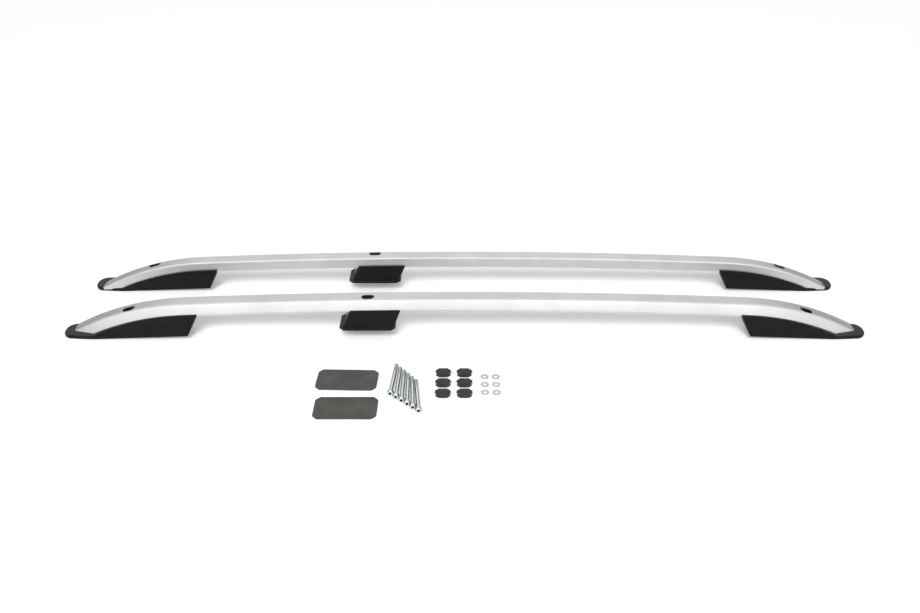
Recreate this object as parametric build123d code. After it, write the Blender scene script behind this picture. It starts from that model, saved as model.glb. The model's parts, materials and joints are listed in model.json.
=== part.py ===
from build123d import *
import os
from math import acos, asin, atan2, cos, degrees, radians, sin, sqrt, tan

# Pair of roof side rails with their fixings, in millimetres.
# X runs along the rails with the rear end at +X, Y to the right rail, Z up from the floor.
# The origin is on the floor, in the middle of the whole set as it is laid out.

# Layout of the pair
overall_length = 1830.0
rail_spacing = 213.0

# Top line of the rail, seen from the side: one long crown and a tighter arc at each end
top_height = 95.0
crown_radius = 14300.0
crown_half = 638.0
end_radius = 590.0

# Hollow rail section; its outer side leans in towards the top
rail_height = 28.5
rail_inner = 27.0
top_outer_corner = 6.2
outer_lean = 30.0
inner_bottom_radius = 4.0
outer_bottom_radius = 5.0
outer_top_radius = 9.0
inner_top_radius = 5.5
rail_wall = 2.2
tip_radius = 24.0
tip_clear = 4.0
tip_trim = 1.0

# Bolts, at the ends measured outwards from the end of the crown, and the holes at each
front_bolt_past = 124.0
middle_bolt_x = -218.0
rear_bolt_past = 138.0
bolt_line = -4.0
slot_length = 29.0
slot_width = 17.5
rail_bolt_hole = 9.5

# Moulded feet in general
seat_gap = 0.2
foot_lip = 6.8
foot_wall = 3.0
seat_wall = 3.5
lip_wall = 2.6
rib_thickness = 2.4
flange_height = 5.0
flange_ledge = 1.5
boss_diameter = 21.0
edge_tolerance = 0.2

# End feet, with their inner ends measured outwards from the end of the crown
front_foot_past = -6.0
rear_foot_past = 14.0
foot_outer_edge = 31.0
end_lean = 27.0
nose_inner = 23.0
nose_outer = 25.0
nose_start = 72.0
nose_radius = 22.0
nose_flare_radius = 160.0
nose_rim = 9.5
end_edge_radius = 6.0
nose_edge_radius = 3.0
seat_tilt = 2.2
seat_flat = 45.0
end_rib_pitch = 46.0
end_rib_count = 3

# Middle feet
middle_foot_length = 115.0
middle_foot_start = -277.0
middle_lean = 23.0
middle_edge_radius = 6.0
middle_seat_height = 26.5
middle_flange_length = 126.5
middle_flange_width = 67.0
middle_flange_corner = 10.0
middle_rib_pitch = 30.0
middle_rib_steps = (-1, 0, 1)

# Gaskets, pads and sleeves
gasket_thickness = 2.0
gasket_inset = 1.2
gasket_hole = 17.0
pad_margin = 2.0
pad_thickness = 3.0
sleeve_outer = 14.0
sleeve_inner = 9.0
sleeve_fit = 0.15

# Screws that hold the feet to the rail
screw_head_diameter = 8.0
screw_head_height = 2.6
screw_diameter = 4.0
screw_length = 11.0
screw_hole = 4.4
screw_spread = 12.0
screw_pitch = 34.0
screw_head_gap = 0.05
screw_chamfer = 0.9
end_screw_bay = 1.5

# Roof bolts
bolt_diameter = 8.0
bolt_length = 100.0
bolt_head_diameter = 13.0
bolt_head_height = 8.0
bolt_socket = 6.0
bolt_socket_sides = 6
bolt_socket_depth = 4.0
bolt_chamfer = 1.0

# Washers and hole caps
washer_outer = 17.0
washer_inner = 8.4
washer_thickness = 1.6
cap_length = 33.0
cap_width = 21.0
cap_corner = 7.0
cap_lid = 2.6
cap_bevel = 1.8
cap_skirt = 9.5
cap_skirt_wall = 1.6
cap_fit = 0.4
cap_clip_reach = 1.1
cap_clip_width = 7.0
cap_clip_height = 1.8

# Where the fixings lie, measured from the middle of the pair
pad_places = [(-250.0, -292.0, -1.5), (-243.0, -388.0, 0.0)]
first_bolt_place = (-155.0, -347.0)
bolt_step = (12.2, -11.4)
first_bolt_turn = -3.7
bolt_turn_step = 1.75
bolt_count = 6
cap_place = (-46.0, -273.0)
cap_step = (45.0, -36.0)
washer_place = (42.0, -280.0)
washer_step = (24.0, -27.5)
grid_columns = 2
grid_rows = 3

# Worked out from the sizes above
half_length = overall_length / 2
front_bolt_x = -crown_half - front_bolt_past
rear_bolt_x = crown_half + rear_bolt_past
front_foot_inner_end = crown_half + front_foot_past
rear_foot_inner_end = crown_half + rear_foot_past
crown_slope = asin(crown_half / crown_radius)
crown_centre_z = top_height - crown_radius
end_centre_x = crown_half - end_radius * sin(crown_slope)
end_centre_z = crown_centre_z + (crown_radius - end_radius) * cos(crown_slope)
end_slope = acos(-end_centre_z / end_radius)
bottom_outer_corner = top_outer_corner + rail_height * tan(radians(outer_lean))
outer_corner_turn = radians(90 + outer_lean)
rail_outer = bottom_outer_corner - outer_bottom_radius * (tan(outer_corner_turn / 2) - 1)
rail_end_z = gasket_thickness + foot_wall + seat_gap
rail_tip_x = end_centre_x + sqrt(end_radius**2 - (rail_end_z - end_centre_z) ** 2)
lip_drop = rail_height - foot_lip
foot_inner_edge = rail_inner + seat_gap + lip_wall
tilt = tan(radians(seat_tilt))
pad_length = middle_flange_length + 2 * pad_margin
pad_width = middle_flange_width + 2 * pad_margin
front_reach = pad_width / 2 - pad_places[1][1]
back_reach = rail_spacing / 2 + max(foot_outer_edge, middle_flange_width / 2)
pair_middle = (front_reach - back_reach) / 2
reach = 2 * top_height


# Point of the end arc or the crown arc that runs a given drop below the top line
def end_point(angle, drop):
    radius = end_radius - drop
    return end_centre_x + radius * sin(angle), end_centre_z + radius * cos(angle)


def crown_point(angle, drop):
    radius = crown_radius - drop
    return radius * sin(angle), crown_centre_z + radius * cos(angle)


# Height and tilt, in degrees, of that line at a place along the rail
def line_height(x, drop):
    if abs(x) <= (crown_radius - drop) * sin(crown_slope):
        return crown_centre_z + sqrt((crown_radius - drop) ** 2 - x**2)
    return end_centre_z + sqrt((end_radius - drop) ** 2 - (abs(x) - end_centre_x) ** 2)


def line_tilt(x, drop):
    if abs(x) <= (crown_radius - drop) * sin(crown_slope):
        return degrees(asin(x / (crown_radius - drop)))
    angle = degrees(asin((abs(x) - end_centre_x) / (end_radius - drop)))
    return angle if x > 0 else -angle


# Block between the two sides, with a given outline seen from the side or from the end
def side_block(outline):
    return extrude(Plane.XZ * outline, amount=reach, both=True)


def end_block(outline):
    return extrude(Plane.YZ * outline, amount=overall_length, both=True)


# Everything below the line that runs a given drop under the rail's top
def under_line(drop):
    low = -top_height
    crown = ThreePointArc(
        crown_point(-crown_slope, drop), crown_point(0, drop), crown_point(crown_slope, drop)
    )
    middle_slope = (crown_slope + end_slope) / 2
    rear = ThreePointArc(
        end_point(crown_slope, drop), end_point(middle_slope, drop), end_point(end_slope, drop)
    )
    front = mirror(rear, about=Plane.YZ)
    tip_x, tip_z = end_point(end_slope, drop)
    base = Polyline((tip_x, tip_z), (tip_x, low), (-tip_x, low), (-tip_x, tip_z))
    return side_block(make_face([*crown.edges(), *rear.edges(), *front.edges(), *base.edges()]))


# Rail section, grown by a margin, standing at the middle of the rail
def rail_section(margin):
    low = top_height - rail_height
    outline = FilletPolyline(
        (-rail_inner, low),
        (bottom_outer_corner, low),
        (top_outer_corner, top_height),
        (-rail_inner, top_height),
        radius=[inner_bottom_radius, outer_bottom_radius, outer_top_radius, inner_top_radius],
        close=True,
    )
    face = make_face(outline.edges())
    return Plane.YZ * (offset(face, margin) if margin else face)


# A section carried along the crown and down both end arcs
def along_rail(section):
    crown_axis = Axis((0, 0, crown_centre_z), (0, 1, 0))
    end_axis = Axis((end_centre_x, 0, end_centre_z), (0, 1, 0))
    half_turn = degrees(crown_slope)
    crown = revolve(section.rotate(crown_axis, -half_turn), crown_axis, 2 * half_turn)
    end = revolve(section.rotate(crown_axis, half_turn), end_axis, degrees(end_slope) - half_turn)
    return crown + end + mirror(end, about=Plane.YZ)


# Everything near the rail that lies below a level
def below_level(level):
    return Pos(0, 0, level - reach) * Box(2 * overall_length, reach, 2 * reach)


# Everything within the rail's rounded tips, seen from above, grown by a margin; the plan is
# wider than the rail by a clear step, so that it cuts nothing but the tips
def between_tips(margin):
    length = 2 * (rail_tip_x - tip_trim + margin)
    width = rail_inner + rail_outer + 2 * (tip_clear + margin)
    plan = RectangleRounded(length, width, tip_radius + margin)
    return Pos(0, (rail_outer - rail_inner) / 2, 0) * extrude(plan, amount=reach, both=True)


def upright(x, y, radius, low, high):
    return Pos(x, y, low) * extrude(Circle(radius), amount=high - low)


# Floor side of an end foot: flat under the nose, then rising towards the middle of the rail
def below_seat(level):
    flat_x = half_length - seat_flat
    rise = flat_x * tilt
    outline = Polyline(
        (0, -top_height),
        (half_length + seat_flat, -top_height),
        (half_length + seat_flat, level),
        (flat_x, level),
        (0, level + rise),
        close=True,
    )
    return side_block(make_face(outline.edges()))


# Outline of an end foot seen from above
def end_foot_plan(inner_end, inset):
    start = inner_end + inset - top_height * tan(radians(end_lean))
    taper_x = half_length - nose_start
    tip = half_length - inset
    outline = FilletPolyline(
        (start, -foot_inner_edge + inset),
        (taper_x, -foot_inner_edge + inset),
        (tip, -nose_inner + inset),
        (tip, nose_outer - inset),
        (taper_x, foot_outer_edge - inset),
        (start, foot_outer_edge - inset),
        radius=[nose_flare_radius, nose_radius - inset, nose_radius - inset, nose_flare_radius],
    )
    back = Line(outline @ 1, outline @ 0)
    plan = make_face([*outline.edges(), back])
    return Pos(0, 0, -top_height) * extrude(plan, amount=2 * top_height)


# Section of a foot across the rail: an upright inner wall, and an outer wall that leans in to
# the rail's outer side at the lip and is carried on up in line
def foot_section(outer_base, low, lip_height, inset):
    lip = rail_outer + seat_gap + lip_wall
    lean = (outer_base - lip) / (lip_height - low)
    outer_top = lip - lean * (top_height - lip_height)
    outline = Polyline(
        (-foot_inner_edge + inset, -top_height),
        (outer_base + lean * (top_height + low) - inset, -top_height),
        (outer_top - inset, top_height),
        (-foot_inner_edge + inset, top_height),
        close=True,
    )
    return end_block(make_face(outline.edges()))


# Turns what is square to the floor to stand square to an end foot's rising seat
def to_seat(shape):
    return shape.rotate(Axis((half_length - seat_flat, 0, 0), (0, 1, 0)), seat_tilt)


def end_foot_section(inset):
    outer_base = foot_outer_edge - flange_ledge
    low = gasket_thickness + flange_height
    return to_seat(foot_section(outer_base, low, line_height(crown_half, lip_drop), inset))


# Low flange round an end foot's base
def end_flange(inner_end):
    slab = to_seat(below_level(gasket_thickness + flange_height))
    return end_foot_plan(inner_end, 0) & beyond_inner_end(inner_end, 0) & slab


# Leaning inner end of an end foot
def beyond_inner_end(inner_end, inset):
    lean = tan(radians(end_lean))
    start = inner_end + inset / cos(radians(end_lean))
    outline = Polyline(
        (start + top_height * lean, -top_height),
        (start - 2 * top_height * lean, 2 * top_height),
        (overall_length, 2 * top_height),
        (overall_length, -top_height),
        close=True,
    )
    return side_block(make_face(outline.edges()))


# Rising edges of a foot's leaning end, given where that end meets the floor and its lean
def rising_edges(body, start, lean):
    def on_end(point):
        return abs(point.X - start - point.Z * tan(radians(lean))) < edge_tolerance

    def rises(edge):
        return abs((edge @ 0).Z - (edge @ 1).Z) > 2 * flange_height

    return [e for e in body.edges() if on_end(e @ 0) and on_end(e @ 1) and rises(e)]


# Low rim round an end foot's nose, rounded along its top
def nose_rim_block(inner_end):
    block = end_foot_plan(inner_end, 0) & below_level(nose_rim)
    block = fillet(block.faces().sort_by(Axis.Z)[-1].edges(), nose_edge_radius)
    return block & end_foot_section(0) & beyond_inner_end(inner_end, end_edge_radius)


# Ribs that cross a foot's hollow underside, one along it and one at each place in a list
def ribs(places):
    size = 2 * top_height
    web = Pos(places[0], bolt_line, 0) * Box(overall_length, rib_thickness, size)
    for x in places:
        web += Pos(x, 0, 0) * Box(rib_thickness, size, size)
    return web


def end_foot(inner_end, bolt_x, envelope):
    floor_side = below_seat(gasket_thickness)
    body = end_foot_plan(inner_end, 0) & end_foot_section(0) & beyond_inner_end(inner_end, 0)
    body = (body & under_line(lip_drop)) - floor_side
    body = fillet(rising_edges(body, inner_end, -end_lean), end_edge_radius)
    body = body + ((nose_rim_block(inner_end) + end_flange(inner_end)) - floor_side) - envelope
    hollow = end_foot_plan(inner_end, foot_wall) & end_foot_section(foot_wall)
    hollow = hollow & beyond_inner_end(inner_end, foot_wall) & under_line(rail_height + seat_wall)
    hollow = hollow - ribs([bolt_x - i * end_rib_pitch for i in range(end_rib_count)])
    hollow = hollow - upright(bolt_x, bolt_line, boss_diameter / 2, -top_height, top_height)
    return body - hollow


def end_gasket(inner_end, bolt_x):
    sheet = end_foot_plan(inner_end, gasket_inset) & beyond_inner_end(inner_end, gasket_inset)
    sheet = sheet & below_seat(gasket_thickness)
    hole = upright(bolt_x, bolt_line, gasket_hole / 2, -top_height, top_height)
    return sheet - below_seat(0) - hole


# Flat plate with its corners cut off
def chamfered_plate(length, width, corner, thickness):
    outline = chamfer(Rectangle(length, width).vertices(), corner)
    return extrude(outline, amount=thickness)


def middle_foot_block(inset):
    lean = tan(radians(middle_lean))
    shift = inset / cos(radians(middle_lean))
    low = middle_seat_height
    start = middle_foot_start + shift
    end = middle_foot_start + middle_foot_length - shift
    side = Polyline(
        (start, low),
        (end, low),
        (end + (top_height - low) * lean, top_height),
        (start + (top_height - low) * lean, top_height),
        close=True,
    )
    outer_base = middle_flange_width / 2 - flange_ledge
    lip_height = line_height(middle_bolt_x, lip_drop)
    across = foot_section(outer_base, low + flange_height, lip_height, inset)
    return side_block(make_face(side.edges())) & across


def middle_foot(envelope):
    flange_x = middle_foot_start + middle_foot_length / 2
    flange = Pos(flange_x, 0, middle_seat_height) * chamfered_plate(
        middle_flange_length, middle_flange_width, middle_flange_corner, flange_height
    )
    body = middle_foot_block(0) & under_line(lip_drop)
    lean_start = middle_foot_start - middle_seat_height * tan(radians(middle_lean))
    for start in (lean_start, lean_start + middle_foot_length):
        body = fillet(rising_edges(body, start, middle_lean), middle_edge_radius)
    body = flange + body - envelope
    hollow = middle_foot_block(foot_wall) & under_line(rail_height + seat_wall)
    hollow = hollow - ribs([middle_bolt_x + i * middle_rib_pitch for i in middle_rib_steps])
    hollow = hollow - upright(middle_bolt_x, bolt_line, boss_diameter / 2, 0, top_height)
    return body - hollow


# Steel sleeve in a foot, cut to the rail's underside at its top
def sleeve(x, low, envelope):
    wall = upright(x, bolt_line, sleeve_outer / 2, low, line_height(x, rail_height / 2))
    return wall - envelope - upright(x, bolt_line, sleeve_inner / 2, 0, top_height)


# Places of the foot screws, as distance along the rail and across it
def screw_places():
    end_step = end_screw_bay * end_rib_pitch
    middle = middle_foot_start + middle_foot_length / 2
    middle += (line_height(middle_bolt_x, rail_height) - middle_seat_height) * tan(radians(middle_lean))
    places = [(middle - screw_pitch, bolt_line - screw_spread)]
    places.append((middle + screw_pitch, bolt_line + screw_spread))
    for x in (front_bolt_x + end_step, rear_bolt_x - end_step):
        places.append((x, bolt_line - screw_spread))
        places.append((x, bolt_line + screw_spread))
    return places


# Frame square to the rail's underside at a place, where a screw's head bears on the foot's seat
def under_seat(x, y):
    drop = rail_height + seat_wall + screw_head_gap
    return Location((x, y, line_height(x, drop)), (0, line_tilt(x, drop), 0))


def screw():
    head = Pos(0, 0, -screw_head_height) * extrude(Circle(screw_head_diameter / 2), screw_head_height)
    head = chamfer(head.faces().sort_by(Axis.Z)[0].edges(), screw_chamfer)
    shank = extrude(Circle(screw_diameter / 2), screw_length)
    return head + chamfer(shank.faces().sort_by(Axis.Z)[-1].edges(), screw_chamfer)


def rail():
    solid = along_rail(rail_section(0) - rail_section(-rail_wall))
    solid = (solid - below_level(rail_end_z)) & between_tips(0)
    for x in (front_bolt_x, middle_bolt_x, rear_bolt_x):
        middle_z = line_height(x, rail_height / 2)
        slot = extrude(SlotOverall(slot_length, slot_width), amount=top_height)
        solid = solid - Pos(x, bolt_line, middle_z) * slot
        solid = solid - upright(x, bolt_line, rail_bolt_hole / 2, 0, middle_z)
    return solid


def roof_bolt():
    head = extrude(Circle(bolt_head_diameter / 2), amount=bolt_head_height)
    head = chamfer(head.faces().sort_by(Axis.Z)[0].edges(), bolt_chamfer)
    socket = RegularPolygon(bolt_socket / 2, bolt_socket_sides, major_radius=False)
    head = head - extrude(socket, amount=bolt_socket_depth)
    shank = Pos(0, 0, bolt_head_height) * extrude(Circle(bolt_diameter / 2), amount=bolt_length)
    return head + chamfer(shank.faces().sort_by(Axis.Z)[-1].edges(), bolt_chamfer)


# A bolt lying on its head's rim and the end of its shank
def lying_bolt(index):
    drop = atan2((bolt_head_diameter - bolt_diameter) / 2, bolt_length)
    head_z = bolt_head_diameter / 2 * cos(drop) + bolt_head_height * sin(drop)
    x = first_bolt_place[0] + index * bolt_step[0]
    y = first_bolt_place[1] + index * bolt_step[1]
    turn = first_bolt_turn + index * bolt_turn_step
    return Pos(x, y, head_z) * Rot(0, 0, turn) * Rot(-90 - degrees(drop), 0, 0) * roof_bolt()


def hole_cap():
    lid = Pos(0, 0, cap_skirt) * chamfered_plate(cap_length, cap_width, cap_corner, cap_lid)
    lid = chamfer(lid.faces().sort_by(Axis.Z)[-1].edges(), cap_bevel)
    skirt_length = slot_length - 2 * cap_fit
    skirt_width = slot_width - 2 * cap_fit
    skirt = SlotOverall(skirt_length, skirt_width)
    skirt = skirt - SlotOverall(skirt_length - 2 * cap_skirt_wall, skirt_width - 2 * cap_skirt_wall)
    clip = Box(skirt_length + 2 * cap_clip_reach, cap_clip_width, cap_clip_height)
    clip = clip - Box(skirt_length - 2 * cap_skirt_wall, cap_width, cap_length)
    return lid + extrude(skirt, amount=cap_skirt) + Pos(0, 0, cap_clip_height / 2) * clip


def washer():
    return extrude(Circle(washer_outer / 2) - Circle(washer_inner / 2), amount=washer_thickness)


# Places of a small grid of like pieces
def grid(place, step):
    return [
        (place[0] + column * step[0], place[1] + row * step[1])
        for row in range(grid_rows)
        for column in range(grid_columns)
    ]


def to_front(shape):
    return mirror(shape, about=Plane.YZ)


# Pieces of one side, with the outer side at +Y
def side_pieces():
    envelope = along_rail(rail_section(seat_gap)) - below_level(rail_end_z - seat_gap)
    envelope = envelope & between_tips(seat_gap)
    pieces = {
        "rail": rail(),
        "front_foot": to_front(end_foot(front_foot_inner_end, -front_bolt_x, envelope)),
        "middle_foot": middle_foot(envelope),
        "rear_foot": end_foot(rear_foot_inner_end, rear_bolt_x, envelope),
    }
    seat_z = gasket_thickness + (half_length - seat_flat - min(-front_bolt_x, rear_bolt_x)) * tilt
    lows = {"front": seat_z, "middle": middle_seat_height, "rear": seat_z}
    places = {"front": front_bolt_x, "middle": middle_bolt_x, "rear": rear_bolt_x}
    for name, x in places.items():
        bore = upright(x, bolt_line, sleeve_outer / 2 + sleeve_fit, 0, top_height)
        pieces[name + "_foot"] = pieces[name + "_foot"] - bore
        pieces[name + "_sleeve"] = sleeve(x, lows[name], envelope)
    pieces["front_gasket"] = to_front(end_gasket(front_foot_inner_end, -front_bolt_x))
    pieces["rear_gasket"] = end_gasket(rear_foot_inner_end, rear_bolt_x)
    screws = []
    for x, y in screw_places():
        frame = under_seat(x, y)
        screws.append(frame * screw())
        hole = frame * extrude(Circle(screw_hole / 2), amount=screw_length)
        for name in ("rail", "front_foot", "middle_foot", "rear_foot"):
            pieces[name] = pieces[name] - hole
    pieces["foot_screws"] = Compound(children=screws)
    return pieces


def write(name, shape):
    export_step(shape, f"parts/{name}.step")


os.makedirs("parts", exist_ok=True)
for name, shape in side_pieces().items():
    write("right_" + name, Pos(0, pair_middle + rail_spacing / 2, 0) * shape)
    write("left_" + name, Pos(0, pair_middle - rail_spacing / 2, 0) * mirror(shape, about=Plane.XZ))

to_pair = Pos(0, pair_middle, 0)
pad = chamfered_plate(pad_length, pad_width, middle_flange_corner, pad_thickness)
for name, (x, y, turn) in zip(("right", "left"), pad_places):
    write(name + "_middle_pad", to_pair * Pos(x, y, 0) * Rot(0, 0, turn) * pad)
for index, (x, y) in enumerate(grid(cap_place, cap_step), start=1):
    write(f"hole_cap_{index}", to_pair * Pos(x, y, 0) * hole_cap())
write("roof_bolts", Compound(children=[to_pair * lying_bolt(i) for i in range(bolt_count)]))
washers = [to_pair * Pos(x, y, 0) * washer() for x, y in grid(washer_place, washer_step)]
write("washers", Compound(children=washers))
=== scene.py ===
import json
import math

import bmesh
import bpy
from mathutils import Matrix, Vector, noise


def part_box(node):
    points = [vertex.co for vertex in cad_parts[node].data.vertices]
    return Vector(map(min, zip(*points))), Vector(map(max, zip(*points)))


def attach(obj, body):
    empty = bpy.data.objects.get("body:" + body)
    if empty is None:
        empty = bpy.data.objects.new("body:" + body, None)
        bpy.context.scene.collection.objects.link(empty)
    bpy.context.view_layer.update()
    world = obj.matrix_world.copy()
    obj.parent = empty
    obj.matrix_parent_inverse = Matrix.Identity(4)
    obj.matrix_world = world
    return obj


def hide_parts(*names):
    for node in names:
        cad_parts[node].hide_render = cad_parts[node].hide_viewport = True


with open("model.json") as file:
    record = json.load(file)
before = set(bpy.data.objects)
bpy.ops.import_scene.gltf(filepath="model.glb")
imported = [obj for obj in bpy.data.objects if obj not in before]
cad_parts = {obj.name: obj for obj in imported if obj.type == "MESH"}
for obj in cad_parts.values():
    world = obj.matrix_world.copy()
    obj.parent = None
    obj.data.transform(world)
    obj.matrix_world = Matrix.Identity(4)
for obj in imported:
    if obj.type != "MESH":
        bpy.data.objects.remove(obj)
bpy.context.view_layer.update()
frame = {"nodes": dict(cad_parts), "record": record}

nodes = frame["nodes"]
sides = ("left", "right")
mm = 0.001
slack = {"merge": 0.001 * mm, "cut": 0.0001 * mm, "level": 0.01 * mm}
pairMiddle = (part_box("left_rail")[0].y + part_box("right_rail")[1].y) / 2
print("frame:", len(nodes), "nodes, pair middle at", round(pairMiddle, 4))


# small helpers for the node trees of the materials and the world
def feed(owner, node, inputs):  # each value is a constant or another node's output
    for key, value in inputs.items():
        if isinstance(value, bpy.types.NodeSocket):
            owner.node_tree.links.new(value, node.inputs[key])
        else:
            node.inputs[key].default_value = value


def addNode(owner, kind, inputs=None, **settings):
    node = owner.node_tree.nodes.new(kind)
    for key, value in settings.items():
        setattr(node, key, value)
    feed(owner, node, inputs or {})
    return node


def compute(owner, operation, *values):
    node = addNode(owner, "ShaderNodeMath", dict(enumerate(values)), operation=operation)
    return node.outputs["Value"]


def spread(owner, value, low, high, start, end):  # maps part of a value onto a range
    mapper = addNode(owner, "ShaderNodeMapRange", {
        "Value": value, "From Min": start, "From Max": end, "To Min": low, "To Max": high})
    return mapper.outputs["Result"]


def newMaterial(name):
    material = bpy.data.materials.new(name)
    material.use_nodes = True
    return material, material.node_tree.nodes["Principled BSDF"]


# most of a noise texture's values lie within the span
noiseLook = {"span": (0.3, 0.7), "cloudDetail": 3.0, "fineDetail": 2.0}


def grain(material, scale, detail):
    coords = addNode(material, "ShaderNodeTexCoord")
    texture = addNode(material, "ShaderNodeTexNoise", {
        "Vector": coords.outputs["Object"], "Scale": scale, "Detail": detail})
    return texture.outputs["Fac"]


def tint(material, value, dark, light):
    ramp = addNode(material, "ShaderNodeValToRGB", {"Fac": value})
    for stop, place, colour in zip(ramp.color_ramp.elements, noiseLook["span"], (dark, light)):
        stop.position = place
        stop.color = (*colour, 1)
    return ramp.outputs["Color"]


def paintedFacingLight(material, colour, axis, other, start, end):  # painted light or shade: another colour where faces turn to an axis
    coords = addNode(material, "ShaderNodeTexCoord")
    parts = addNode(material, "ShaderNodeSeparateXYZ", {"Vector": coords.outputs["Normal"]})
    facing = compute(material, "ABSOLUTE", parts.outputs[axis])
    mixer = addNode(material, "ShaderNodeMixRGB", {
        "Fac": spread(material, facing, 0.0, 1.0, start, end), "Color1": colour, "Color2": (*other, 1)})
    return mixer.outputs["Color"]


def bump(material, value, distance, strength):
    relief = addNode(material, "ShaderNodeBump", {
        "Height": value, "Distance": distance, "Strength": strength})
    return relief.outputs["Normal"]


# one dictionary per finish: colours are linear, scales are per metre
finishes = {
    "railSilver": {
        "slot": "rail_metal", "metallic": 1.0, "specular": 0.5,
        "dark": (0.605, 0.61, 0.615), "light": (0.67, 0.67, 0.675), "cloud": 14.0,
        "rough": (0.46, 0.54), "grain": 1400.0, "relief": 0.00004, "strength": 0.10,
    },
    # bare inner metal, its colour darkened as painted shade inside the tube and its slots
    "railInsidePaintedShade": {
        "metallic": 0.9, "specular": 0.3,
        "dark": (0.24, 0.24, 0.245), "light": (0.32, 0.32, 0.325), "cloud": 30.0,
        "rough": (0.5, 0.65), "grain": 900.0, "relief": 0.00006, "strength": 0.15,
    },
    "footBlack": {
        "slot": "foot_plastic", "metallic": 0.0, "specular": 0.12,
        "dark": (0.0060, 0.0060, 0.0063), "light": (0.0090, 0.0090, 0.0094), "cloud": 40.0,
        "rough": (0.28, 0.38), "grain": 1800.0, "relief": 0.00006, "strength": 0.15,
        # painted highlight: faces of the black feet turned up or down are made paler
        "facing": ("Z", (0.030, 0.030, 0.031), 0.55, 0.95),
    },
    "gasketRubber": {
        "slot": "gasket_rubber", "metallic": 0.0, "specular": 0.2,
        "dark": (0.010, 0.010, 0.010), "light": (0.017, 0.017, 0.017), "cloud": 60.0,
        "rough": (0.75, 0.9), "grain": 1100.0, "relief": 0.0001, "strength": 0.2,
    },
    "padFoam": {
        "slot": "pad_rubber", "metallic": 0.0, "specular": 0.25,
        "dark": (0.068, 0.065, 0.061), "light": (0.094, 0.090, 0.085), "cloud": 26.0,
        "rough": (0.62, 0.8), "grain": 900.0, "relief": 0.00015, "strength": 0.3,
    },
    "capBlack": {
        "slot": "cap_plastic", "metallic": 0.0, "specular": 0.3,
        "dark": (0.020, 0.020, 0.020), "light": (0.032, 0.031, 0.030), "cloud": 90.0,
        "rough": (0.4, 0.55), "grain": 1500.0, "relief": 0.00006, "strength": 0.15,
    },
    "zincSteel": {
        "slot": "zinc_steel", "metallic": 1.0, "specular": 0.5,
        "dark": (0.61, 0.655, 0.665), "light": (0.73, 0.76, 0.765), "cloud": 120.0,
        "rough": (0.16, 0.26), "grain": 2200.0, "relief": 0.00004, "strength": 0.12,
        # painted shade: bolt sides turned towards X are darkened, standing in for dark reflections
        # between the bolts
        "facing": ("X", (0.10, 0.115, 0.12), 0.40, 0.80),
    },
    # painted light: a separate brightness of the zinc, set for how light falls on the washer faces
    "washerZincPaintedLight": {
        "metallic": 1.0, "specular": 0.5,
        "dark": (0.48, 0.49, 0.50), "light": (0.58, 0.585, 0.59), "cloud": 150.0,
        "rough": (0.3, 0.42), "grain": 2000.0, "relief": 0.00004, "strength": 0.12,
    },
    "threadZinc": {
        "metallic": 1.0, "specular": 0.5,
        "dark": (0.34, 0.35, 0.36), "light": (0.45, 0.46, 0.47), "cloud": 150.0,
        "rough": (0.3, 0.4), "grain": 2000.0, "relief": 0.00004, "strength": 0.12,
    },
    # painted shade: near-black finish for the socket recess, dark because of its depth
    "socketPaintedShade": {
        "metallic": 0.0, "specular": 0.2,
        "dark": (0.006, 0.006, 0.007), "light": (0.014, 0.014, 0.015), "cloud": 300.0,
        "rough": (0.6, 0.75), "grain": 2000.0, "relief": 0.00004, "strength": 0.12,
    },
}


def makeFinish(name, look):
    material, shader = newMaterial(name)
    cloud = grain(material, look["cloud"], noiseLook["cloudDetail"])
    colour = tint(material, cloud, look["dark"], look["light"])
    # painted light or shade by facing, where a finish lists it
    if "facing" in look:
        colour = paintedFacingLight(material, colour, *look["facing"])
    fine = grain(material, look["grain"], noiseLook["fineDetail"])
    feed(material, shader, {
        "Metallic": look["metallic"], "Specular IOR Level": look["specular"], "Base Color": colour,
        "Roughness": spread(material, fine, *look["rough"], *noiseLook["span"]),
        "Normal": bump(material, fine, look["relief"], look["strength"])})
    return material


materials = {name: makeFinish(name, look) for name, look in finishes.items()}
slotMaterial = {look["slot"]: materials[name] for name, look in finishes.items() if "slot" in look}
nodeMaterial = {"washers": materials["washerZincPaintedLight"]}
print("finishes:", ", ".join(materials))


# small helpers for meshes and objects
def meshOf(bm, name):  # the bmesh is used up
    mesh = bpy.data.meshes.new(name)
    bm.to_mesh(mesh)
    bm.free()
    return mesh


def placeObject(name, data):
    holder = bpy.data.objects.new(name, data)
    bpy.context.scene.collection.objects.link(holder)
    return holder


def addTo(bm, other):
    mesh = meshOf(other, "passing")
    bm.from_mesh(mesh)
    bpy.data.meshes.remove(mesh)


def flatFace(bm, points):
    verts = [bm.verts.new(point) for point in points]
    bm.faces.new(verts)
    return verts


def rectangle(bm, length, width):
    x, y = length / 2, width / 2
    return flatFace(bm, [(-x, -y, 0), (x, -y, 0), (x, y, 0), (-x, y, 0)])


def roundCorner(bm, vert, radius, turn, segments):
    bmesh.ops.bevel(
        bm, geom=[vert], offset=radius * math.tan(turn / 2), offset_type="OFFSET",
        segments=segments, profile=0.5, affect="VERTICES", material=-1)


def prism(bm, low, high):  # raises a flat face into a closed block
    base = list(bm.faces)
    bmesh.ops.translate(bm, verts=bm.verts, vec=(0, 0, low))
    raised = bmesh.ops.extrude_face_region(bm, geom=base, use_keep_orig=True)["geom"]
    moved = [item for item in raised if isinstance(item, bmesh.types.BMVert)]
    bmesh.ops.translate(bm, verts=moved, vec=(0, 0, high - low))


def cylinder(bm, radius, low, high, segments):
    made = bmesh.ops.create_cone(
        bm, cap_ends=True, segments=segments, radius1=radius, radius2=radius, depth=high - low)
    bmesh.ops.translate(bm, verts=made["verts"], vec=(0, 0, (low + high) / 2))
    return made["verts"]


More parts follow.
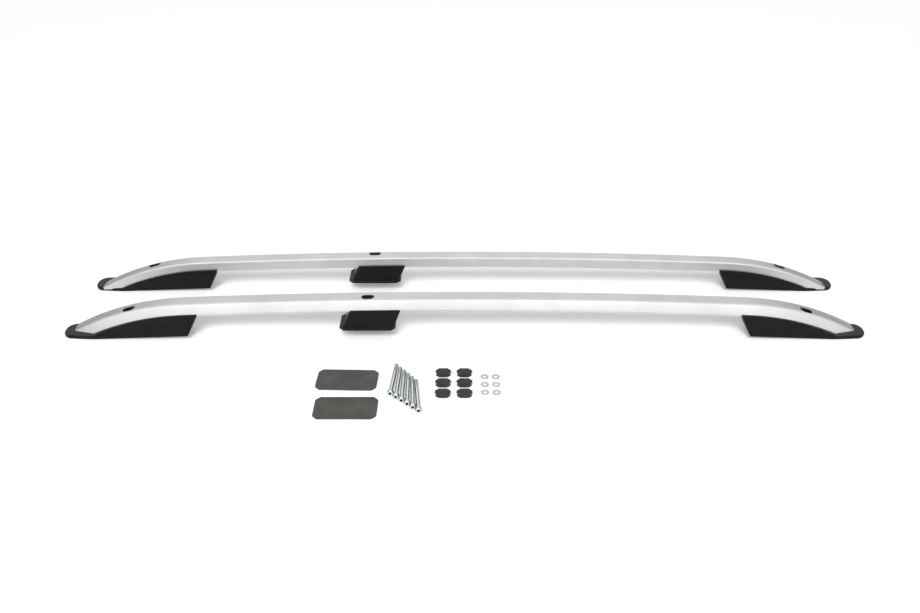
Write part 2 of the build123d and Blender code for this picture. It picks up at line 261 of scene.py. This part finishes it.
def slicePlane(bm, point, normal, dist, clear):
    everything = list(bm.verts) + list(bm.edges) + list(bm.faces)
    bmesh.ops.bisect_plane(
        bm, geom=everything, dist=dist, plane_co=point, plane_no=normal, clear_outer=clear)


def cutBy(bm, cutter, operation):
    bmesh.ops.recalc_face_normals(bm, faces=bm.faces)
    kept, tool = [placeObject("passing", meshOf(form, "passing")) for form in (bm, cutter)]
    cut = kept.modifiers.new("cut", "BOOLEAN")
    cut.operation = operation
    cut.solver = "EXACT"
    cut.object = tool
    done = kept.evaluated_get(bpy.context.evaluated_depsgraph_get())
    result = bmesh.new()
    result.from_mesh(done.to_mesh())
    done.to_mesh_clear()
    for holder in (kept, tool):
        mesh = holder.data
        bpy.data.objects.remove(holder)
        bpy.data.meshes.remove(mesh)
    return result


def smoothFaces(piece):
    for face in piece.data.polygons:
        face.use_smooth = True


def softenEdges(piece, width, angle, segments):
    smoothFaces(piece)
    bevel = piece.modifiers.new("softEdge", "BEVEL")
    bevel.limit_method = "ANGLE"
    bevel.angle_limit = angle
    bevel.width = width
    bevel.segments = segments
    bevel.harden_normals = True


def splitEdges(piece, angle):
    smoothFaces(piece)
    piece.modifiers.new("sharp", "EDGE_SPLIT").split_angle = angle


def keepPiece(bm, name, finish, replaced, *inside):
    bmesh.ops.remove_doubles(bm, verts=bm.verts, dist=slack["merge"])
    bmesh.ops.recalc_face_normals(bm, faces=bm.faces)
    piece = placeObject(name, meshOf(bm, name))
    for used in (finish, *inside):
        piece.data.materials.append(materials[used])
    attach(piece, "root")
    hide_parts(replaced)
    return piece


# CAD nodes keep their shape: merged, softly edged and given their finish
softEdges = {
    "widths": {
        "rail": 0.4 * mm, "foot": 0.5 * mm, "gasket": 0.3 * mm, "sleeve": 0.3 * mm,
        "cap": 0.35 * mm, "washers": 0.2 * mm,
    },
    "merge": 0.002 * mm, "angle": math.radians(32), "segments": 2,
}


def edgeWidth(name):  # screws, bolts and pads have none
    for word, width in softEdges["widths"].items():
        if word in name and "screws" not in name:
            return width
    return 0.0


def dressNode(name, slotName):
    node = nodes[name]
    node.data.materials.clear()
    node.data.materials.append(nodeMaterial.get(name, slotMaterial[slotName]))
    node.modifiers.new("merge", "WELD").merge_threshold = softEdges["merge"]
    width = edgeWidth(name)
    if not width:
        splitEdges(node, softEdges["angle"])
    else:
        softenEdges(node, width, softEdges["angle"], softEdges["segments"])
        if "foot" in name:
            node.modifiers.new("evenLight", "WEIGHTED_NORMAL")


for part in frame["record"]["subparts"]:
    dressNode(part["node"], part["material_slot"])
print("CAD nodes dressed")


# the rail again as a clean bent tube, with the same section, arcs and holes
railShape = {
    "top": 95 * mm, "crownRadius": 14300 * mm, "crownHalf": 638 * mm, "endRadius": 590 * mm,
    "height": 28.5 * mm, "inner": 27 * mm, "topOuter": 6.2 * mm, "lean": math.radians(30),
    "innerBottom": 4 * mm, "outerBottom": 5 * mm, "outerTop": 9 * mm, "innerTop": 5.5 * mm,
    "wall": 2.2 * mm, "endLevel": 5.2 * mm, "tipRadius": 24 * mm, "tipClear": 4 * mm,
    "holes": (-762 * mm, -218 * mm, 776 * mm), "holeLine": -4 * mm, "holeGap": 1 * mm,
    "slotLength": 29 * mm, "slotWidth": 17.5 * mm, "boltHole": 9.5 * mm,
    "cornerSteps": 8, "crownSteps": 64, "endSteps": 56,
    "softEdge": 0.5 * mm, "softAngle": math.radians(35), "softSteps": 3,
}
# blocks that cut the tube: well past it, with corners just short of a full round
blockShape = {"low": -100 * mm, "high": 200 * mm, "round": 0.999, "steps": 12}
crownSlope = math.asin(railShape["crownHalf"] / railShape["crownRadius"])
crownCentre = Vector((0, 0, railShape["top"] - railShape["crownRadius"]))
endCentre = crownCentre + (railShape["crownRadius"] - railShape["endRadius"]) * Vector(
    (math.sin(crownSlope), 0, math.cos(crownSlope)))
frontCentre = Vector((-endCentre.x, 0, endCentre.z))
endTurn = math.acos(-endCentre.z / railShape["endRadius"]) - crownSlope


def topLine(x):
    if abs(x) <= railShape["crownHalf"]:
        return crownCentre.z + math.sqrt(railShape["crownRadius"] ** 2 - x ** 2)
    reach = abs(x) - endCentre.x
    return endCentre.z + math.sqrt(railShape["endRadius"] ** 2 - reach ** 2)


def tubeSection(bm, inset):
    low = railShape["top"] - railShape["height"]
    bottomOuter = railShape["topOuter"] + railShape["height"] * math.tan(railShape["lean"])
    square = math.radians(90)
    corners = flatFace(bm, [
        (0, -railShape["inner"], low), (0, bottomOuter, low),
        (0, railShape["topOuter"], railShape["top"]), (0, -railShape["inner"], railShape["top"])])
    rounds = [
        (railShape["innerBottom"], square), (railShape["outerBottom"], square + railShape["lean"]),
        (railShape["outerTop"], square - railShape["lean"]), (railShape["innerTop"], square)]
    for corner, (radius, turn) in zip(corners, rounds):
        roundCorner(bm, corner, radius, turn, railShape["cornerSteps"])
    if inset:
        bmesh.ops.inset_region(
            bm, faces=list(bm.faces), thickness=inset, use_even_offset=True, use_boundary=True)
        ring = [face for face in bm.faces if len(face.edges) == 4]
        bmesh.ops.delete(bm, geom=ring, context="FACES")
    bmesh.ops.delete(bm, geom=list(bm.faces), context="FACES_ONLY")


def tubeSkin(inset, finishIndex):  # the section carried along both end arcs and the crown
    bm = bmesh.new()
    tubeSection(bm, inset)
    for centre, angle in ((crownCentre, -crownSlope), (frontCentre, -endTurn)):
        bmesh.ops.rotate(bm, verts=bm.verts, cent=centre, matrix=Matrix.Rotation(angle, 3, "Y"))
    last = list(bm.verts) + list(bm.edges)
    runs = [
        (frontCentre, endTurn, railShape["endSteps"]),
        (crownCentre, 2 * crownSlope, railShape["crownSteps"]),
        (endCentre, endTurn, railShape["endSteps"])]
    for centre, angle, steps in runs:
        last = bmesh.ops.spin(
            bm, geom=last, cent=centre, axis=(0, 1, 0), angle=angle, steps=steps,
            use_merge=False)["geom_last"]
    slicePlane(bm, (0, 0, railShape["endLevel"]), (0, 0, -1), slack["cut"], True)
    for face in bm.faces:
        face.material_index = finishIndex
    if inset:
        bmesh.ops.reverse_faces(bm, faces=list(bm.faces))
    return bm


def bentTube():  # both skins, joined by a ring at each end
    bm = tubeSkin(0, 0)
    addTo(bm, tubeSkin(railShape["wall"], 1))
    for side in (-1, 1):
        rim = [e for e in bm.edges if e.is_boundary and e.verts[0].co.x * side > 0]
        bmesh.ops.bridge_loops(bm, edges=rim)
    return bm


def roundedBlock(bm, place, size, radius, low, high):
    block = bmesh.new()
    for corner in rectangle(block, *size):
        roundCorner(block, corner, radius * blockShape["round"], math.radians(90), blockShape["steps"])
    prism(block, low, high)
    bmesh.ops.translate(block, verts=block.verts, vec=(*place, 0))
    bmesh.ops.recalc_face_normals(block, faces=block.faces)
    addTo(bm, block)


def railBody():  # about its own line, with the outer side at +Y
    low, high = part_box("right_rail")
    width = high.y - low.y
    under, over = blockShape["low"], blockShape["high"]
    tips = bmesh.new()
    plan = (2 * high.x, width + 2 * railShape["tipClear"])
    roundedBlock(tips, (0, width / 2 - railShape["inner"]), plan, railShape["tipRadius"], under, over)
    body = cutBy(bentTube(), tips, "INTERSECT")
    holes = bmesh.new()
    slot = (railShape["slotLength"], railShape["slotWidth"])
    hole = (railShape["boltHole"], railShape["boltHole"])
    for x in railShape["holes"]:
        place = (x, railShape["holeLine"])
        middle = topLine(x) - railShape["height"] / 2
        roundedBlock(holes, place, slot, slot[1] / 2, middle, over)
        roundedBlock(holes, place, hole, hole[1] / 2, under, middle - railShape["holeGap"])
    return cutBy(body, holes, "DIFFERENCE")


def makeRail(side, body):
    low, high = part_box(side + "_rail")
    sign = 1 if side == "right" else -1
    railLine = (low.y if side == "right" else high.y) + sign * railShape["inner"]
    bm = body.copy()
    bmesh.ops.scale(bm, verts=bm.verts, vec=(1, sign, 1))
    bmesh.ops.translate(bm, verts=bm.verts, vec=(0, railLine, 0))
    piece = keepPiece(bm, side + "RailSkin", "railSilver", side + "_rail", "railInsidePaintedShade")
    softenEdges(piece, railShape["softEdge"], railShape["softAngle"], railShape["softSteps"])


body = railBody()
for side in sides:
    makeRail(side, body)
body.free()
print("rails made")


# six socket bolts with a rolled thread, where the CAD bolts lie
boltShape = {
    "head": 13 * mm, "headHeight": 8 * mm, "headRound": 0.9 * mm, "roundSteps": 3, "knurl": 0.18 * mm,
    "socket": 6 * mm, "socketDepth": 4 * mm, "shank": 8 * mm, "length": 100 * mm,
    "intoHead": 0.4 * mm, "intoThread": 0.3 * mm,
    "thread": 30 * mm, "pitch": 1.25 * mm, "depth": 0.68 * mm, "tip": 1.0 * mm,
    "rootFlat": 0.18, "crestFlat": (0.5, 0.66), "threadMerge": 0.005 * mm,
    "steps": 24, "count": 6, "sharp": math.radians(28),
    "place": (-155 * mm, -347 * mm), "step": (12.2 * mm, -11.4 * mm),
    "turn": -3.7, "turnStep": 1.75,
}


def boltHead():
    bm = bmesh.new()
    verts = cylinder(bm, boltShape["head"] / 2, 0, boltShape["headHeight"], 2 * boltShape["steps"])
    for vert in verts:  # fine upright ridges round the head
        ridge = round(math.atan2(vert.co.y, vert.co.x) / math.pi * boltShape["steps"]) % 2
        if ridge:
            vert.co.xy *= 1 - 2 * boltShape["knurl"] / boltShape["head"]
    rims = [e for e in bm.edges if abs(e.verts[0].co.z - e.verts[1].co.z) < slack["level"]]
    bmesh.ops.bevel(
        bm, geom=rims, offset=boltShape["headRound"], segments=boltShape["roundSteps"],
        profile=0.5, affect="EDGES", material=-1)
    cutSocket(bm)
    return bm


def cutSocket(bm):
    lid = min(bm.faces, key=lambda face: face.calc_center_median().z)
    half = boltShape["socket"] / 2
    bmesh.ops.inset_region(bm, faces=[lid], thickness=lid.verts[0].co.xy.length - half)
    for vert in lid.verts:  # the ring inside becomes a hexagon
        turn = math.atan2(vert.co.y, vert.co.x) % (math.pi / 3) - math.pi / 6
        vert.co.xy *= half / math.cos(turn) / vert.co.xy.length
    floor = bmesh.ops.extrude_discrete_faces(bm, faces=[lid])["faces"][0]
    bmesh.ops.translate(bm, verts=floor.verts, vec=(0, 0, boltShape["socketDepth"]))
    # the socket's walls and floor take the painted shade finish
    for face in {face for vert in floor.verts for face in vert.link_faces}:
        face.material_index = 1


def boltShank(bm):
    start = boltShape["headHeight"] - boltShape["intoHead"]
    end = boltShape["headHeight"] + boltShape["length"] - boltShape["thread"] + boltShape["intoThread"]
    cylinder(bm, boltShape["shank"] / 2, start, end, 2 * boltShape["steps"])


def boltThread():
    bm = bmesh.new()
    crest = boltShape["shank"] / 2
    root = crest - boltShape["depth"]
    pitch = boltShape["pitch"]
    flats = [(crest, share) for share in boltShape["crestFlat"]]
    outline = [(root, 0), (root, boltShape["rootFlat"]), *flats, (root, 1)]
    verts = [bm.verts.new((radius, 0, share * pitch)) for radius, share in outline]
    edges = [bm.edges.new(pair) for pair in zip(verts, verts[1:])]
    turns = math.ceil(boltShape["thread"] / pitch) + 2
    bmesh.ops.spin(
        bm, geom=verts + edges, cent=(0, 0, 0), axis=(0, 0, 1),
        dvec=(0, 0, pitch / boltShape["steps"]), angle=2 * math.pi * turns,
        steps=turns * boltShape["steps"], use_merge=False)
    bmesh.ops.remove_doubles(bm, verts=bm.verts, dist=boltShape["threadMerge"])
    top = boltShape["headHeight"] + boltShape["length"]
    start = top - boltShape["thread"]
    bmesh.ops.translate(bm, verts=bm.verts, vec=(0, 0, start - pitch))
    trimThread(bm, start, -1)
    trimThread(bm, top, 1)
    narrowTip(bm, top, crest)
    for face in bm.faces:
        face.material_index = 2
    return bm


def trimThread(bm, level, facing):  # cut off level, and closed there
    slicePlane(bm, (0, 0, level), (0, 0, facing), slack["cut"], True)
    rim = [e for e in bm.edges if e.is_boundary
           and all(abs(vert.co.z - level) < slack["level"] for vert in e.verts)]
    bmesh.ops.contextual_create(bm, geom=rim)


def narrowTip(bm, top, crest):  # a short cone at 45 degrees
    for vert in bm.verts:
        past = max(0, vert.co.z - top + boltShape["tip"]) / boltShape["tip"]
        limit = crest - past * boltShape["tip"]
        if vert.co.xy.length > limit:
            vert.co.xy *= limit / vert.co.xy.length


def makeBolt():
    bm = boltThread()
    addTo(bm, boltHead())
    boltShank(bm)
    return bm


def layBolts():
    whole = bmesh.new()
    drop = math.atan2((boltShape["head"] - boltShape["shank"]) / 2, boltShape["length"])
    lift = boltShape["head"] / 2 * math.cos(drop) + boltShape["headHeight"] * math.sin(drop)
    for index in range(boltShape["count"]):
        bolt = makeBolt()
        x = boltShape["place"][0] + index * boltShape["step"][0]
        y = pairMiddle + boltShape["place"][1] + index * boltShape["step"][1]
        turn = math.radians(boltShape["turn"] + index * boltShape["turnStep"])
        lie = Matrix.Translation((x, y, lift)) @ Matrix.Rotation(turn, 4, "Z")
        lie = lie @ Matrix.Rotation(-math.pi / 2 - drop, 4, "X")
        bmesh.ops.transform(bolt, matrix=lie, verts=bolt.verts)
        addTo(whole, bolt)
    piece = keepPiece(whole, "threadedBolts", "zincSteel", "roof_bolts", "socketPaintedShade", "threadZinc")
    splitEdges(piece, boltShape["sharp"])


layBolts()
print("bolts made")


# foam pads: cut by hand from sheet, so their edges wander a little
padShape = {
    "length": 130.5 * mm, "width": 71 * mm, "corner": 10 * mm, "thick": 3 * mm,
    "turn": {"left": 0.0, "right": -1.5}, "lengthCells": 26, "widthCells": 14,
    "wander": 0.35 * mm, "waves": 40, "seed": {"left": 3.0, "right": 9.0}, "edgePower": 8,
    "roll": 0.25 * mm, "rollWaves": 0.6,
    "softEdge": 0.5 * mm, "softAngle": math.radians(40), "softSteps": 3,
}


def padSheet():  # cut corners, and cells fine enough to bend
    bm = bmesh.new()
    corners = rectangle(bm, padShape["length"], padShape["width"])
    bmesh.ops.bevel(
        bm, geom=corners, offset=padShape["corner"], offset_type="OFFSET", segments=1,
        profile=0.5, affect="VERTICES", material=-1)
    for normal, size, cells in (
            (Vector((1, 0, 0)), padShape["length"], padShape["lengthCells"]),
            (Vector((0, 1, 0)), padShape["width"], padShape["widthCells"])):
        for step in range(1, cells):
            place = normal * (size / 2 * (2 * step / cells - 1))
            slicePlane(bm, place, normal, slack["merge"], False)
    prism(bm, 0, padShape["thick"])
    bmesh.ops.recalc_face_normals(bm, faces=bm.faces)
    return bm


def wearPad(bm, side):  # draws its edges in and its top down, unevenly
    halfLength, halfWidth = padShape["length"] / 2, padShape["width"] / 2
    waves, seed = padShape["waves"], padShape["seed"][side]
    for vert in bm.verts:
        place = Vector((vert.co.x * waves, vert.co.y * waves, seed))
        edge = max(abs(vert.co.x) / halfLength, abs(vert.co.y) / halfWidth) ** padShape["edgePower"]
        vert.co.xy *= 1 - padShape["wander"] * edge * (1 + noise.noise(place)) / halfWidth
        if vert.co.z > padShape["thick"] / 2:
            vert.co.z += padShape["roll"] * (noise.noise(place * padShape["rollWaves"]) - 1)


def makePad(side):
    low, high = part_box(side + "_middle_pad")
    middle = (low + high) / 2
    bm = padSheet()
    wearPad(bm, side)
    turn = Matrix.Rotation(math.radians(padShape["turn"][side]), 4, "Z")
    place = Matrix.Translation((middle.x, middle.y, low.z)) @ turn
    bmesh.ops.transform(bm, matrix=place, verts=bm.verts)
    piece = keepPiece(bm, side + "FoamPad", "padFoam", side + "_middle_pad")
    softenEdges(piece, padShape["softEdge"], padShape["softAngle"], padShape["softSteps"])


for side in sides:
    makePad(side)
print("pads made")


# floor, light and camera
stageLook = {
    "white": (1, 1, 1, 1),
    "floorSize": 60.0, "floorColour": (0.86, 0.86, 0.86, 1), "floorRough": 0.9, "floorLift": 0.20,
    "worldLight": 0.43, "backdrop": 1.0, "corners": 0.05, "fadeBack": 0.5, "fadeFrom": (0.70, 1.05),
    "keyFrom": (-0.3, -2.3, 2.7), "keyAim": (0, 0, 0), "keySpread": math.radians(22), "keyPower": 1.75,
    "strip": {"place": (0.0, -2.2, 2.2), "aim": (0.0, 0.05, 0.06), "size": (6.0, 0.9), "power": 44.0},
    "back": {"place": (0.0, 3.2, 1.9), "aim": (0.0, 0.1, 0.05), "size": (6.0, 2.4), "power": 4.0},
    "lens": 34.983, "sensor": 36.0, "cameraX": -0.0103, "cameraBack": 1.8261,
    "cameraHeight": 1.1309, "cameraDown": 31.67,
}


def backgroundRays(owner):  # what the camera sees straight, and in metal or through glass
    path = addNode(owner, "ShaderNodeLightPath").outputs
    mirrored = compute(owner, "MAXIMUM", path["Is Glossy Ray"], path["Is Transmission Ray"])
    return path["Is Camera Ray"], mirrored


def litFloor():
    bm = bmesh.new()
    bmesh.ops.create_grid(bm, x_segments=1, y_segments=1, size=stageLook["floorSize"] / 2)
    floor = placeObject("floor", meshOf(bm, "floor"))
    material, shader = newMaterial("paleFloor")
    seen = compute(material, "MAXIMUM", *backgroundRays(material))
    feed(material, shader, {
        "Base Color": stageLook["floorColour"], "Roughness": stageLook["floorRough"],
        "Specular IOR Level": 0.0, "Emission Color": stageLook["white"],
        "Emission Strength": compute(material, "MULTIPLY", seen, stageLook["floorLift"])})
    floor.data.materials.append(material)


def plainWorld():
    world = bpy.data.worlds.new("studio")
    bpy.context.scene.world = world
    world.use_nodes = True
    coords = addNode(world, "ShaderNodeTexCoord")
    parts = addNode(world, "ShaderNodeSeparateXYZ", {"Vector": coords.outputs["Generated"]})
    aside = compute(world, "ABSOLUTE", parts.outputs["X"])
    corner = compute(world, "MULTIPLY_ADD", parts.outputs["Y"], stageLook["fadeBack"], aside)
    # metal sees the white backdrop fade to its far corners
    walls = spread(world, corner, stageLook["backdrop"], stageLook["corners"], *stageLook["fadeFrom"])
    straight, mirrored = backgroundRays(world)
    inMetal = addNode(world, "ShaderNodeMix", {
        "Factor": mirrored, "A": stageLook["worldLight"], "B": walls})
    seen = addNode(world, "ShaderNodeMix", {
        "Factor": straight, "A": inMetal.outputs["Result"], "B": stageLook["backdrop"]})
    feed(world, world.node_tree.nodes["Background"], {
        "Color": stageLook["white"], "Strength": seen.outputs["Result"]})


def placeLamp(lamp, place, aim):
    holder = placeObject(lamp.name, lamp)
    holder.location = place
    holder.rotation_euler = (Vector(aim) - Vector(place)).to_track_quat("-Z", "Y").to_euler()
    return holder


def softKey():
    lamp = bpy.data.lights.new("key", "SUN")
    lamp.angle = stageLook["keySpread"]
    lamp.energy = stageLook["keyPower"]
    holder = placeLamp(lamp, stageLook["keyFrom"], stageLook["keyAim"])
    holder.visible_glossy = False  # metal shows the backdrop and the soft boxes instead


def softBox(name, place, aim, size, power):
    lamp = bpy.data.lights.new(name, "AREA")
    lamp.shape = "RECTANGLE"
    lamp.size, lamp.size_y = size
    lamp.energy = power
    placeLamp(lamp, place, aim)


def photoCamera():
    lens = bpy.data.cameras.new("camera")
    lens.lens = stageLook["lens"]
    lens.sensor_width = stageLook["sensor"]
    holder = placeObject("camera", lens)
    holder.location = (
        stageLook["cameraX"], pairMiddle - stageLook["cameraBack"], stageLook["cameraHeight"])
    holder.rotation_euler = (math.radians(90 - stageLook["cameraDown"]), 0, 0)
    bpy.context.scene.camera = holder


litFloor()
plainWorld()
softKey()
for name in ("strip", "back"):
    softBox(name, **stageLook[name])
photoCamera()
bpy.context.scene.view_settings.view_transform = "Standard"
print("stage and camera set")
